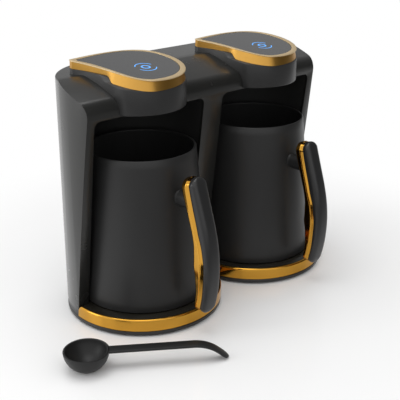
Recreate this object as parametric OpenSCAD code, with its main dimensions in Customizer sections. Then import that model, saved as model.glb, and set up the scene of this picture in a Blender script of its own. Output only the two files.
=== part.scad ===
// Twin electric Turkish coffee maker: one housing with two brewing stations side by side,
// a lift-out pot in each station, and a measuring scoop that lies beside the machine.
// Front faces -Y. The origin is on the resting plane, midway between the two station axes.

/* [Stations] */
// Radius of each round base
base_r = 65; // [64:0.5:70]
// Gap between the two round bases
station_gap = 1; // [1:0.5:8]
// From the base's rim in to the alcove's wall
pillar_w = 10; // [10:0.5:12]

/* [Base] */
// Height of the rubber feet below the tray
foot_h = 1.2; // [0.8:0.1:3]
// Radius of the rubber feet
foot_r = 6; // [5:0.5:8]
// Thickness of the tray's floor
tray_floor = 3; // [2.8:0.1:4]
// Height of the tray's plinth, which carries the housing
plinth_h = 4.6; // [4:0.2:6]
// Thickness of the tray's plinth and lip
tray_wall = 1.8; // [1.5:0.1:2]
// Height of the gold ring round each base
ring_h = 10.6; // [10:0.2:13]
// Thickness of the gold ring
ring_wall = 2; // [1.6:0.1:2.6]
// How far the gold ring stands proud of the tray
ring_proud = 0.3; // [0:0.1:0.4]
// Radius of the gold ring's upper outer edge
ring_edge_r = 1.5; // [0.5:0.1:1.5]
// How far the deck lies below the top of the gold ring
deck_drop = 1.2; // [0.6:0.1:2]
// Thickness of the deck
deck_wall = 2.2; // [1.8:0.1:2.6]

/* [Heating] */
// From the base's rim in to the hotplate's edge
hotplate_in = 19; // [17:0.5:25]
// How far the hotplate stands above the deck
hotplate_rise = 1.6; // [1.4:0.1:2.5]
// Width of the flange that holds the hotplate under the deck
flange_w = 2.5; // [1.5:0.1:3]
// Thickness of that flange
flange_t = 1.2; // [0.8:0.1:1.4]
// Radius of the heating element's ring
heater_r = 30; // [20:0.5:36]
// Radius of the heating element's tube
heater_tube_r = 2.4; // [1.6:0.1:2.4]
// Radius of the thermostat
thermostat_r = 7; // [5:0.5:12]
// Height of the thermostat
thermostat_h = 4.6; // [3:0.1:4.8]

/* [Housing] */
// Height of the housing's flat top
housing_top = 195; // [190:1:205]
// Wall thickness of the housing
housing_wall = 2.5; // [2:0.1:3]
// Radius of the edge round the housing's flat top
top_edge_r = 5; // [3:0.5:8]
// Where the flat top ends and the slope to the front starts
slope_start = 21; // [15:1:25]
// Angle of the slope
slope_angle = 20; // [16:0.5:22]
// Radius of the fold between the slope and the front
fold_r = 12; // [9:0.5:15]
// Where the front face stands at the housing's lower edge
front_foot = 5.2; // [4:0.2:8]
// How far the front face leans forward
front_lean = 7.5; // [6:0.5:8]
// From the housing's flat top down to the alcoves' ceiling
alcove_drop = 26; // [25:0.5:27]
// Radius of the alcoves' upper corners
alcove_edge_r = 5.5; // [4:0.5:9]
// Wall thickness of the alcove liners
liner_wall = 1.6; // [1.2:0.1:1.8]

/* [Back] */
// Width of the rear cover
cover_w = 110; // [90:1:120]
// Height of the rear cover
cover_h = 112; // [100:1:130]
// Height of the rear cover's lower edge
cover_z = 34; // [32:1:44]
// Number of air slots in each column
slot_count = 8; // [4:1:9]
// Length of an air slot
slot_l = 30; // [20:1:34]
// Height of an air slot
slot_h = 2.4; // [1.6:0.1:3]
// Height of the cord gland
gland_z = 46; // [45:0.5:50]
// Radius of the cord gland's bore
gland_bore_r = 3.2; // [2.6:0.1:3.6]
// Radius of the cord gland's barrel
gland_r = 6; // [5:0.1:6.5]

/* [Heads] */
// From the housing's flat top up to the head's top, on the station's axis
head_rise = 6; // [3:0.5:11]
// How far the head's top tilts forward
head_tilt = 8; // [6:0.5:10]
// From the alcoves' ceiling up to the head's underside
head_inset = 1; // [1:0.5:3]
// Radius of the head's round front
head_r = 39.5; // [38:0.5:41]
// Centre of the head's round front, sideways
head_x = 0; // [-1:0.5:3]
// Centre of the head's round front, forwards
head_y = 4; // [2:0.5:5]
// Point of the head, sideways
tip_x = -41.8; // [-45:0.1:-41]
// Point of the head, backwards
tip_y = 34.6; // [34:0.1:37]
// Wall thickness of the head
head_wall = 2.2; // [1.8:0.1:2.4]
// Height of the gold band under the lip
band_h = 5; // [4.8:0.1:6.5]
// Thickness of the gold lip
lip_t = 1.3; // [1:0.1:1.6]
// How far the lip overhangs the band
lip_over = 0.9; // [0.3:0.1:1.2]
// Width of the gold lip, seen from above
lip_w = 4.4; // [4:0.1:6]
// Thickness of the touch panel
panel_t = 2; // [1.8:0.1:2.5]
// How far the touch panel lies below the lip
panel_drop = 0.3; // [0.1:0.1:0.5]
// Thickness of the circuit boards
board_t = 1.6; // [1:0.1:2]
// Radius of the light guide under the touch mark
guide_r = 9; // [6:0.5:12]
// Place of the touch mark from the centre of the head's round front, sideways
mark_x = 3.5; // [1:0.5:6]
// Place of the touch mark from that centre, forwards
mark_y = -7.5; // [-14:0.5:-4]
// Radius of the boil sensor's window
sensor_r = 4.5; // [3:0.5:5]
// Place of the boil sensor from the centre of the head's round front, forwards
sensor_y = -28; // [-30:0.5:-27]

/* [Pots] */
// Free space between the pot and the alcove
pot_clear = 1.5; // [1.2:0.1:3]
// Outer radius of the pot's rim
pot_rim_r = 44.4; // [40:0.2:48]
// Height of the pot's wall
pot_h = 121.8; // [100:0.2:126]
// Wall thickness of the pot
pot_wall = 2; // [1.6:0.1:2.4]
// How far the pot's wall bows out at mid height
pot_bow = 0.7; // [0:0.1:1]
// Radius of the pot's lower edge
pot_edge_r = 1; // [0.8:0.1:3]
// Thickness of the pot's floor
pot_floor = 2; // [1.6:0.1:3]
// Radius of the pot's steel base
pot_base_r = 45; // [40:0.5:46]
// Thickness of the pot's steel base
pot_base_t = 2.2; // [1.6:0.1:3]

/* [Handles] */
// Width of the handle
handle_w = 16.5; // [14:0.1:18]
// Depth of the handle's flat side
handle_side = 7.5; // [6:0.1:8]
// From the station's axis to the handle's foremost point
handle_reach = 84; // [83:0.2:90]
// Height of the handle's foremost point
bow_z = 54; // [50:0.5:58]
// Radius of the handle's bow
bow_r = 120; // [110:1:140]
// Angle of the bow below its foremost point
bow_down = 16; // [12:0.5:16]
// Angle of the bow above its foremost point
bow_up = 18.5; // [16:0.5:19]
// Length of the straight stretch above the bow
neck_l = 28; // [26:0.5:30]
// Width of the gold edge beside the grip pad
pad_edge = 0.9; // [0.6:0.1:1.5]
// Gold left above and below the grip pad
pad_end = 2.2; // [1:0.1:4]
// Depth of the grip pad in the gold frame
pad_in = 2.3; // [1.5:0.1:2.6]
// How far the grip pad's crown stands out
pad_crown = 1.6; // [1:0.1:2.5]
// Height of the bracket that joins handle and pot
bracket_z = 104; // [102:0.5:106]
// Width of the bracket
bracket_w = 11; // [9:0.5:12]
// Height of the bracket
bracket_h = 15; // [13:0.5:16]
// Depth of the bracket's end in the handle
bracket_in = 5; // [4:0.2:6]

/* [Scoop] */
// Place of the scoop's bowl, sideways
scoop_x = -165; // [-200:1:-160]
// Place of the scoop's bowl, forwards
scoop_y = -54; // [-70:1:-40]
// Direction of the scoop's handle
scoop_turn = -35.9; // [-50:0.5:-25]
// Outer radius of the scoop's bowl
scoop_r = 17.1; // [15:0.1:20]
// Height of the scoop's rim
scoop_h = 14.6; // [13:0.1:15]
// Wall thickness of the scoop
scoop_wall = 1.4; // [1:0.1:1.8]
// Width of the scoop's handle
strip_w = 8.4; // [6:0.1:10]
// Thickness of the scoop's handle
strip_t = 2; // [1.6:0.1:2.6]
// Length of the handle's level stretch, from the bowl's axis
strip_l = 79; // [60:1:95]
// Radius of the handle's bend
strip_bend_r = 30; // [26:1:34]
// Angle of the handle's bend
strip_bend = 40; // [38:0.5:42]

/* [Fits] */
// Clearance between pieces that are fitted together
fit = 0.3; // [0.2:0.05:0.4]
// Radius of the screws' shanks
screw_r = 1.5; // [1.2:0.1:1.6]
// Radius of the screws' heads
screw_head_r = 2.8; // [2.4:0.1:3]
// Height of the screws' heads
screw_head_h = 1.6; // [1.2:0.1:1.8]
// Radius of the screw bosses
boss_r = 3.2; // [3:0.1:3.4]
// Height of the screw bosses in the housing
boss_h = 19; // [14:1:22]

/* [Hidden] */
$fn = 96;

black = [0.09, 0.09, 0.09];
gold = [0.83, 0.6, 0.24];
steel = [0.7, 0.7, 0.72];
green = [0.1, 0.35, 0.2];
left = -1;
right = 1;
eps = 0.01;
far = 200;

pitch = 2*base_r + station_gap;
alcove_r = base_r - pillar_w;
pot_foot_r = alcove_r - pot_clear;

floor_z = foot_h + tray_floor;
housing_z = floor_z + plinth_h;
ring_r = base_r + ring_proud;
deck_r = ring_r - ring_wall - fit;
deck_z = floor_z + ring_h - deck_drop;
flange_z = deck_z - deck_wall;
heater_z = flange_z - flange_t;
hotplate_z = deck_z + hotplate_rise;
hotplate_r = base_r - hotplate_in;

alcove_top = housing_top - alcove_drop;
head_top = housing_top + head_rise;
head_bottom = alcove_top + head_inset;

pot_z = hotplate_z + fit;
pot_shell_z = pot_z + 0.3;
pot_floor_z = pot_z + pot_base_t;
pot_top_z = pot_shell_z + pot_h;

// The band stands on the head's wall, and the lip's upper face is the head's top plane
band_foot = -lip_t - band_h;
tip_flank = [cos(122.3), sin(122.3)];
tip_rear = [cos(196.3), sin(196.3)];
tip_half_angle = 37;

side_boss_r = base_r - 4.8;
side_boss_angle = 35;
rear_boss_x = 17;
rear_boss_y = base_r - 15;
front_boss_y = base_r - 41;
rib_t = 2;
rib_slot = rib_t + 1;
boss_places = concat(
    [[0, front_boss_y], [-rear_boss_x, rear_boss_y], [rear_boss_x, rear_boss_y]],
    [for (x = [left, right])
        [x*(pitch/2 + side_boss_r*cos(side_boss_angle)), side_boss_r*sin(side_boss_angle)]]
);
foot_places = [
    [0, 4], [-pitch/2, 11 - base_r], [pitch/2, 11 - base_r],
    [-pitch/2 - 38, 38], [pitch/2 + 38, 38]
];
cover_screw_in = 6;
cover_places = [
    for (x = [-1, 1], z = [0, 1])
        [x*(cover_w/2 - cover_screw_in), cover_z + cover_screw_in + z*(cover_h - 2*cover_screw_in)]
];

module at_station(side) translate([side*pitch/2, 0, 0]) children();
module lying_x() rotate([90, 0, 90]) children();

// ---- Housing forms ----

// Fold line of the slope and the front, moved inwards by d
function fold_at(d) =
    let (slope_z = housing_top - slope_start*tan(slope_angle) - d/cos(slope_angle),
         front_y = front_foot + housing_z*tan(front_lean) + d/cos(front_lean),
         z = (slope_z + front_y*tan(slope_angle))/(1 + tan(slope_angle)*tan(front_lean)))
    [front_y - z*tan(front_lean), z];

function front_at(z, d) = front_foot - (z - housing_z)*tan(front_lean) + d/cos(front_lean);

// Side outline of the housing ahead of its flat top: slope, round fold and a front that leans
// forward. It runs on above the top.
module side_outline(d, z0) {
    above = 10;
    bend_y = slope_start + d*tan(slope_angle/2) + above/tan(slope_angle);
    centre = fold_at(fold_r);
    turn = 90 - slope_angle + front_lean;
    steps = 10;
    polygon(concat(
        [[far, z0], [far, housing_top - d + above], [bend_y, housing_top - d + above]],
        [for (i = [0:steps]) let (a = 90 + slope_angle + turn*i/steps)
            centre + (fold_r - d)*[cos(a), sin(a)]],
        [[front_at(z0, d), z0]]
    ));
}

// Half section with a round upper edge
module edge_outline(r, z0, top, edge) {
    union() {
        translate([0, z0]) square([r - edge, top - z0]);
        translate([0, z0]) square([r, top - edge - z0]);
        translate([r - edge, top - edge]) circle(edge);
    }
}

module both_sides() {
    children();
    mirror([1, 0]) children();
}

module side_form(d, z0) translate([-far, 0, 0]) lying_x() linear_extrude(2*far) side_outline(d, z0);

// The housing's outer form, with a round edge about its flat top
module housing_form() {
    intersection() {
        union() {
            for (side = [left, right])
                at_station(side) rotate([0, 0, side == right ? -90 : 90]) rotate_extrude(angle = 180)
                    edge_outline(base_r, housing_z, housing_top, top_edge_r);
            translate([-pitch/2, 0, 0]) lying_x() linear_extrude(pitch)
                both_sides() edge_outline(base_r, housing_z, housing_top, top_edge_r);
        }
        side_form(0, housing_z);
    }
}

// The same form moved inwards by d and started at another height, with a plain edge
module inner_form(d, z0) {
    intersection() {
        translate([0, 0, z0]) linear_extrude(housing_top - d - z0) union() {
            for (side = [left, right]) translate([side*pitch/2, 0]) circle(base_r - d);
            translate([-pitch/2, d - base_r]) square([pitch, 2*(base_r - d)]);
        }
        side_form(d, z0 - 1);
    }
}

// The room of one alcove, moved outwards by d: round at the back, open to the front
module alcove_form(d, z0) {
    rotate_extrude(angle = 180)
        edge_outline(alcove_r + d, z0, alcove_top + d, alcove_edge_r + d);
    rotate([90, 0, 0]) linear_extrude(base_r)
        both_sides() edge_outline(alcove_r + d, z0, alcove_top + d, alcove_edge_r + d);
}

// Everything behind the plane of the housing's front, moved outwards by d
module behind_front(d) {
    translate([-far, 0, 0]) lying_x() linear_extrude(2*far)
        polygon([[far, -far], [far, far], [front_at(far, -d), far], [front_at(-far, -d), -far]]);
}

module boss(place, r, z0, z1) translate([place.x, place.y, z0]) cylinder(r = r, h = z1 - z0);

module cover_room() {
    translate([-cover_w/2, base_r - housing_wall - 1, cover_z]) cube([cover_w, housing_wall + 2, cover_h]);
}

module housing_bosses() {
    top = housing_z + boss_h;
    intersection() {
        union() {
            for (place = boss_places) boss(place, boss_r, housing_z, top);
            for (x = [-rear_boss_x, rear_boss_x])
                translate([x - rib_t/2, rear_boss_y, housing_z]) cube([rib_t, base_r, boss_h]);
            translate([-rib_t/2, -base_r, housing_z]) cube([rib_t, base_r + front_boss_y, boss_h]);
        }
        inner_form(housing_wall/2, housing_z);
    }
}

module cover_ears() {
    ear = 2*cover_screw_in;
    ear_t = 3;
    outwards = ear/4;
    for (place = cover_places)
        translate([place.x - ear/2 + sign(place.x)*outwards, base_r - housing_wall - ear_t,
                   place.y - ear/2 + sign(place.y - cover_z - cover_h/2)*outwards])
            cube([ear, ear_t + eps, ear]);
}

module housing_shell() {
    color(black) difference() {
        union() {
            difference() {
                housing_form();
                inner_form(housing_wall, housing_z - 1);
                cover_room();
            }
            housing_bosses();
            cover_ears();
        }
        for (side = [left, right]) at_station(side) {
            alcove_form(0, housing_z - 1);
            translate([head_x, 30, housing_top - 8]) cylinder(r = 5, h = 16);
        }
        for (place = boss_places) boss(place, screw_r + 0.05, housing_z - 1, housing_z + boss_h - 3);
        for (place = cover_places)
            translate([place.x, base_r + 1, place.y]) rotate([90, 0, 0])
                cylinder(r = screw_r + 0.05, h = housing_wall + 5);
    }
}

module alcove_liner(side) {
    color(black) intersection() {
        at_station(side) difference() {
            alcove_form(liner_wall, floor_z);
            alcove_form(0, floor_z - 1);
        }
        inner_form(housing_wall, floor_z);
    }
}

// ---- Back ----

module rear_cover() {
    slot_pitch = (cover_h - 4*cover_screw_in)/slot_count;
    color(black) difference() {
        union() {
            cover_plate();
            for (x = [-standoff_x, standoff_x], z = [cover_z + standoff_in, cover_z + cover_h - standoff_in])
                translate([x, base_r - housing_wall + eps, z]) rotate([90, 0, 0])
                    cylinder(r = standoff_r, h = standoff_l + eps);
        }
        for (x = [-1, 1], i = [0:slot_count - 1])
            translate([x*(cover_w/2 - slot_l/2 - 3) - slot_l/2, base_r - 2*housing_wall,
                       cover_z + 2*cover_screw_in + (i + 0.5)*slot_pitch - slot_h/2])
                cube([slot_l, 3*housing_wall, slot_h]);
        for (place = cover_places)
            translate([place.x, base_r + eps, place.y]) rotate([90, 0, 0]) {
                cylinder(r = screw_r + 0.05, h = housing_wall + 1);
                cylinder(r = screw_head_r + 0.1, h = screw_head_h + 2*eps);
            }
        translate([0, base_r + 1, gland_z]) rotate([90, 0, 0])
            cylinder(r = gland_r + 0.05, h = housing_wall + 2);
    }
}

module cover_plate() {
    translate([-cover_w/2 + fit, base_r - housing_wall, cover_z + fit])
        cube([cover_w - 2*fit, housing_wall, cover_h - 2*fit]);
}

module rear_cover_screws() {
    color(steel) for (place = cover_places)
        translate([place.x, base_r, place.y]) rotate([90, 0, 0]) {
            cylinder(r = screw_head_r, h = screw_head_h);
            cylinder(r = screw_r, h = housing_wall + 2.5);
        }
}

// Strain relief for the mains cord
module cord_gland() {
    flange_r = gland_r + 2.5;
    color(black) translate([0, base_r, gland_z]) rotate([90, 0, 0]) difference() {
        union() {
            translate([0, 0, -4]) cylinder(r = gland_r - 0.8, h = 4);
            translate([0, 0, -1.6]) cylinder(r = flange_r, h = 1.6);
            cylinder(r = gland_r, h = housing_wall + 4);
        }
        translate([0, 0, -5]) cylinder(r = gland_bore_r, h = housing_wall + 10);
    }
}

standoff_l = 8;
standoff_r = 3;
standoff_x = 20;
standoff_in = 14;
board_w = 46;
board_z = cover_z + 8;
board_h = cover_h - 16;
board_face_y = base_r - housing_wall - standoff_l - board_t;
transformer_w = 28;
transformer_t = 11;
transformer_h = 26;
relay_x = 9;
relay_w = 14;
relay_t = 10;
relay_h = 18;
capacitor_r = 5;
capacitor_h = 16;
part_gap = 9;

module power_board() {
    color(green) translate([-board_w/2, board_face_y, board_z]) cube([board_w, board_t, board_h]);
}

// A transformer, two relays and two capacitors on the power board
module power_parts() {
    relay_z = 2*part_gap + transformer_h;
    capacitor_z = relay_z + relay_h + part_gap;
    color(steel) translate([0, board_face_y, board_z]) {
        translate([-transformer_w/2, -transformer_t, part_gap])
            cube([transformer_w, transformer_t, transformer_h]);
        for (x = [-1, 1]) {
            translate([x*relay_x - relay_w/2, -relay_t, relay_z]) cube([relay_w, relay_t, relay_h]);
            translate([x*relay_x, -capacitor_r, capacitor_z])
                cylinder(r = capacitor_r, h = capacitor_h);
        }
    }
}

// ---- Base ----

module tray_outline() {
    for (side = [left, right]) translate([side*pitch/2, 0]) circle(base_r);
    translate([-pitch/2, -8]) square([pitch, base_r + 8]);
}

module base_tray() {
    color(black) difference() {
        union() {
            translate([0, 0, foot_h]) linear_extrude(tray_floor) tray_outline();
            difference() {
                union() {
                    difference() {
                        inner_form(0.4, floor_z - eps);
                        inner_form(0.4 + tray_wall, floor_z - 1);
                        translate([-far, -far, housing_z]) cube(2*far);
                    }
                    difference() {
                        inner_form(housing_wall + fit, floor_z - eps);
                        inner_form(housing_wall + fit + tray_wall, floor_z - 1);
                        translate([-far, -far, housing_z + 4]) cube(2*far);
                        for (place = boss_places) boss(place, boss_r + 0.5, housing_z, housing_z + 9);
                        for (x = [-rear_boss_x, rear_boss_x])
                            translate([x - rib_slot/2, rear_boss_y - 10, housing_z])
                                cube([rib_slot, 30, 9]);
                        translate([-rib_slot/2, -10, housing_z])
                            cube([rib_slot, front_boss_y + 16, 9]);
                    }
                }
                for (side = [left, right]) at_station(side) alcove_form(liner_wall + fit, 0);
            }
            for (place = boss_places) boss(place, boss_r, floor_z - eps, housing_z);
        }
        for (place = boss_places) {
            boss(place, screw_r + 0.2, 0, housing_z + 1);
            boss(place, screw_head_r + 0.2, 0, foot_h + screw_head_h);
        }
    }
}

module rubber_feet() {
    color([0.05, 0.05, 0.05])
        for (place = foot_places) boss(place, foot_r, 0, foot_h);
}

module base_screws() {
    color(steel) for (place = boss_places) {
        boss(place, screw_head_r, foot_h, foot_h + screw_head_h);
        boss(place, screw_r, foot_h, housing_z + 9);
    }
}

module base_ring(side) {
    color(gold) at_station(side) difference() {
        rotate_extrude() difference() {
            edge_outline(ring_r, floor_z, floor_z + ring_h, ring_edge_r);
            translate([0, floor_z - 1]) square([ring_r - ring_wall, ring_h + 2]);
        }
        behind_front(fit);
    }
}

// Deck of one station: a disc ahead of the housing's front, and a round tongue into the alcove
module deck_form(d, z0, z1) {
    difference() {
        translate([0, 0, z0]) cylinder(r = deck_r - d, h = z1 - z0);
        behind_front(fit + d);
    }
    translate([0, 0, z0]) cylinder(r = alcove_r - fit - d, h = z1 - z0);
}

module base_deck(side) {
    color(black) at_station(side) difference() {
        deck_form(0, floor_z, deck_z);
        deck_form(deck_wall, floor_z - 1, flange_z);
        translate([0, 0, floor_z]) cylinder(r = hotplate_r + fit, h = ring_h);
    }
}

module hotplate(side) {
    color(steel) at_station(side) {
        translate([0, 0, heater_z]) cylinder(r = hotplate_r + flange_w, h = flange_t);
        translate([0, 0, heater_z]) cylinder(r = hotplate_r, h = hotplate_z - heater_z);
    }
}

module heating_element(side) {
    color([0.5, 0.45, 0.4]) at_station(side) translate([0, 0, heater_z - heater_tube_r])
        rotate([0, 0, 110]) rotate_extrude(angle = 320) translate([heater_r, 0])
            circle(heater_tube_r);
}

module thermostat(side) {
    color(steel) at_station(side)
        translate([0, 0, heater_z - thermostat_h]) cylinder(r = thermostat_r, h = thermostat_h);
}

// ---- Heads ----

function bezier(a, b, c, d, t) =
    a*pow(1 - t, 3) + 3*b*t*pow(1 - t, 2) + 3*c*t*t*(1 - t) + d*pow(t, 3);

// Outline of a head, moved inwards by d: a round front, a nearly straight rear edge and a
// hollow left flank that meet in a point
function drop_points(d) =
    let (centre = [head_x, head_y],
         r = head_r - d,
         flank_angle = 222,
         rear_angle = 92,
         flank_dir = [sin(flank_angle), -cos(flank_angle)],
         rear_dir = [-sin(rear_angle), cos(rear_angle)],
         flank_in = [tip_flank.y, -tip_flank.x],
         rear_in = [-tip_rear.y, tip_rear.x],
         tip = [tip_x, tip_y] - d/sin(tip_half_angle)*(tip_flank + tip_rear)/norm(tip_flank + tip_rear),
         from = centre + r*[cos(flank_angle), sin(flank_angle)],
         to = centre + r*[cos(rear_angle), sin(rear_angle)])
    concat(
        [for (a = [rear_angle:-5:flank_angle - 360]) centre + r*[cos(a), sin(a)]],
        [for (t = [0.1:0.1:0.9]) bezier(from, from + 12*flank_dir, tip - 30*tip_flank, tip, t)],
        [bezier(from, from + 12*flank_dir, tip - 30*tip_flank, tip, 0.96)],
        [bezier(to, to + 16*rear_dir, tip - 12*tip_rear, tip, 0.94)],
        [for (t = [0.8:-0.2:0.1]) bezier(to, to + 16*rear_dir, tip - 12*tip_rear, tip, t)]
    );

module drop_form(d, z0, z1) translate([0, 0, z0]) linear_extrude(z1 - z0) polygon(drop_points(d));

// A slab parallel to the head's top plane, between two depths measured from it
module top_slab(z0, z1) {
    translate([0, 0, head_top]) rotate([head_tilt, 0, 0])
        translate([-far/2, -far/2, z0]) cube([far, far, z1 - z0]);
}

// The part of the head's outline between two depths below its top plane
module head_layer(d, z0, z1) {
    intersection() {
        drop_form(d, head_bottom - 10, head_top + 30);
        top_slab(z0, z1);
    }
}

module head_ring(outer, inner, z0, z1) {
    difference() {
        head_layer(outer, z0, z1);
        drop_form(inner, head_bottom - 20, head_top + 40);
    }
}

shelf_w = 4;
shelf_t = 1.5;
frame_in = 2.9;

module head_body(side) {
    color(black) difference() {
        at_station(side) difference() {
            union() {
                difference() {
                    intersection() {
                        drop_form(0, head_bottom, head_top + 30);
                        top_slab(-far/2, band_foot);
                    }
                    drop_form(head_wall, head_bottom + head_wall, head_top + 40);
                }
                head_ring(head_wall - eps, head_wall + shelf_w, band_foot - shelf_t, band_foot);
            }
            translate([head_x, head_y + sensor_y, head_bottom - 1]) cylinder(r = sensor_r + 0.1, h = head_wall + 2);
        }
        housing_form();
    }
}

module head_trim(side) {
    color(gold) at_station(side) {
        head_ring(0, lip_w, -lip_t, 0);
        head_ring(lip_over, lip_over + 1.7, band_foot, -lip_t);
    }
}

module touch_panel(side) {
    color([0.16, 0.16, 0.17]) at_station(side)
        head_layer(lip_w + 0.2, -panel_drop - panel_t, -panel_drop);
}

module panel_frame(side) {
    color(black) at_station(side)
        head_ring(frame_in, frame_in + 3.6, band_foot + board_t, -panel_drop - panel_t);
}

module control_board(side) {
    color(green) at_station(side) head_layer(frame_in, band_foot, band_foot + board_t);
}

module light_guide(side) {
    color("white") at_station(side) translate([0, 0, head_top]) rotate([head_tilt, 0, 0])
        translate([head_x + mark_x, head_y + mark_y, band_foot + board_t]) difference() {
            h = -panel_drop - panel_t - band_foot - board_t;
            cylinder(r = guide_r, h = h);
            translate([0, 0, -1]) cylinder(r = guide_r - 2, h = h + 2);
        }
}

module boil_sensor(side) {
    color([0.2, 0.05, 0.05]) at_station(side)
        translate([head_x, head_y + sensor_y, head_bottom - 0.8]) {
            cylinder(r = sensor_r, h = 0.8 + head_wall);
            translate([0, 0, 0.8 + head_wall]) cylinder(r = sensor_r + 1.5, h = 2.5);
        }
}

// ---- Pots ----

// Outer radius of the pot's wall at a share t of its height: a taper that bows out slightly
function pot_r_at(t) = pot_foot_r + (pot_rim_r - pot_foot_r)*t + 4*pot_bow*t*(1 - t);

module pot_outline(d, z0) {
    steps = 12;
    polygon(concat(
        [[0, z0]],
        [for (i = [0:steps]) [pot_r_at(i/steps) - d, z0 + (pot_top_z - z0)*i/steps]],
        [[0, pot_top_z]]
    ));
}

module pot_body(side) {
    color(black) at_station(side) rotate_extrude() difference() {
        intersection() {
            pot_outline(0, pot_shell_z);
            union() {
                translate([0, pot_shell_z]) square([pot_foot_r - pot_edge_r, pot_edge_r]);
                translate([0, pot_shell_z + pot_edge_r]) square([2*base_r, pot_h]);
                translate([pot_foot_r - pot_edge_r, pot_shell_z + pot_edge_r]) circle(pot_edge_r);
            }
        }
        difference() {
            pot_outline(pot_wall, pot_shell_z);
            square([2*base_r, pot_floor_z + pot_floor]);
        }
        square([pot_base_r + 0.1, pot_floor_z]);
        translate([0, pot_top_z - eps]) square([base_r, 1]);
    }
}

module pot_base(side) {
    color(steel) at_station(side)
        translate([0, 0, pot_z]) cylinder(r = pot_base_r, h = pot_base_t);
}

// ---- Handles ----

bow_y = bow_r - handle_reach;
pad_r = handle_w/2 - pad_edge;
crown_r = (pad_r*pad_r + pad_crown*pad_crown)/(2*pad_crown);
// The arcs of the round ends are this much wider than the handle, so they meet its sides at a corner
end_bulge = 1.05;

// Puts its child at the handle's front line, at an angle below the foremost point: X is the
// handle's width, Y its depth towards the pot, and Z runs up along the handle
module on_bow(angle) {
    translate([0, bow_y, bow_z]) rotate([angle, 0, 0]) translate([0, -bow_r, 0]) children();
}

// Sweeps a section with X as width and Y as depth along the bow
module along_bow(up, down) {
    translate([0, bow_y, bow_z]) rotate([0, 90, 0]) rotate([0, 0, -90 - up])
        rotate_extrude(angle = up + down) translate([bow_r, 0]) rotate([0, 0, 90]) children();
}

// Takes away everything beyond a round end that is r above the child frame's origin
module end_cut(r) {
    difference() {
        translate([-handle_w, -handle_w, 0]) cube([2*handle_w, 4*handle_w, 4*r]);
        translate([0, -far/2, (1 - end_bulge)*r]) rotate([-90, 0, 0]) cylinder(r = end_bulge*r, h = far);
    }
}

// Sweeps a section along the bow and up the neck, with round ends of radius r that stay
// `inset` short of the handle's own ends
module swept(r, inset) {
    beyond = 6;
    difference() {
        union() {
            along_bow(bow_up, bow_down + beyond) children();
            on_bow(-bow_up) linear_extrude(neck_l + r) children();
        }
        on_bow(-bow_up) translate([0, 0, neck_l - inset]) end_cut(r);
        on_bow(bow_down) translate([0, 0, inset]) mirror([0, 0, 1]) end_cut(r);
    }
}

// Flat sides and a half round inner side
module frame_section() {
    intersection() {
        union() {
            translate([-handle_w/2, 0]) square([handle_w, handle_side]);
            translate([0, handle_side]) circle(handle_w/2);
        }
        translate([-handle_w, 0]) square(2*handle_w);
    }
}

// Section of the grip pad: it sits pad_in deep in the frame and stands out with a round crown
module pad_section(grow) {
    intersection() {
        translate([-pad_r - grow, -pad_crown - 1])
            square([2*(pad_r + grow), pad_crown + pad_in + grow + 1]);
        translate([0, crown_r - pad_crown]) circle(crown_r + grow);
    }
}

module pad_form(grow) swept(pad_r + grow, pad_end) pad_section(grow);

neck_front_y = bow_y - bow_r*cos(bow_up) + (bracket_z - bow_z - bow_r*sin(bow_up))*tan(bow_up);
frame_back_y = neck_front_y + (handle_side + handle_w/2)/cos(bow_up);
screw_seat_y = neck_front_y + (pad_in + 1)/cos(bow_up) + screw_head_h + 0.4;

module bracket_form(grow) {
    corner = 4;
    w = bracket_w/2 + grow - corner;
    h = bracket_h/2 + grow - corner;
    translate([0, 0, bracket_z]) rotate([90, 0, 0])
        translate([0, 0, pot_rim_r - 5]) linear_extrude(bracket_in - frame_back_y - pot_rim_r + 5) union() {
            square([2*w, 2*(h + corner)], center = true);
            square([2*(w + corner), 2*h], center = true);
            for (x = [-w, w], y = [-h, h]) translate([x, y]) circle(corner);
        }
}

module screw_axis(side) translate([side*pitch/2, screw_seat_y, bracket_z]) rotate([-90, 0, 0]) children();

module handle_bracket(side) {
    color(black) difference() {
        at_station(side) difference() {
            bracket_form(0);
            rotate_extrude() pot_outline(0, pot_shell_z);
        }
        screw_axis(side) translate([0, 0, -5]) cylinder(r = screw_r + 0.05, h = 16);
    }
}

module handle_frame(side) {
    color(gold) difference() {
        at_station(side) difference() {
            swept(handle_w/2, 0) frame_section();
            pad_form(0.1);
            bracket_form(0.1);
        }
        screw_axis(side) {
            translate([0, 0, -10]) cylinder(r = screw_head_r + 0.2, h = 10);
            translate([0, 0, -eps]) cylinder(r = screw_r + 0.1, h = 20);
        }
    }
}

module grip_pad(side) color([0.07, 0.07, 0.07]) at_station(side) pad_form(0);

module handle_screw(side) {
    color(steel) screw_axis(side) {
        translate([0, 0, -screw_head_h]) cylinder(r = screw_head_r, h = screw_head_h);
        cylinder(r = screw_r, h = 10);
    }
}

// ---- Scoop ----

// The tail runs down at the bend's angle until it meets the resting plane
strip_tail = (scoop_h - strip_bend_r + (strip_bend_r - strip_t)*cos(strip_bend))/sin(strip_bend);

// Points of the strip's upper side, moved down by d: level, bent, and straight to the tip
function strip_side(d) =
    let (centre = [strip_l, scoop_h - strip_bend_r],
         end = centre + (strip_bend_r - d)*[sin(strip_bend), cos(strip_bend)],
         steps = 8)
    concat(
        [[scoop_r - 1, scoop_h - d]],
        [for (i = [0:steps]) let (a = strip_bend*i/steps) centre + (strip_bend_r - d)*[sin(a), cos(a)]],
        [end + strip_tail*[cos(strip_bend), -sin(strip_bend)]]
    );

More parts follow.
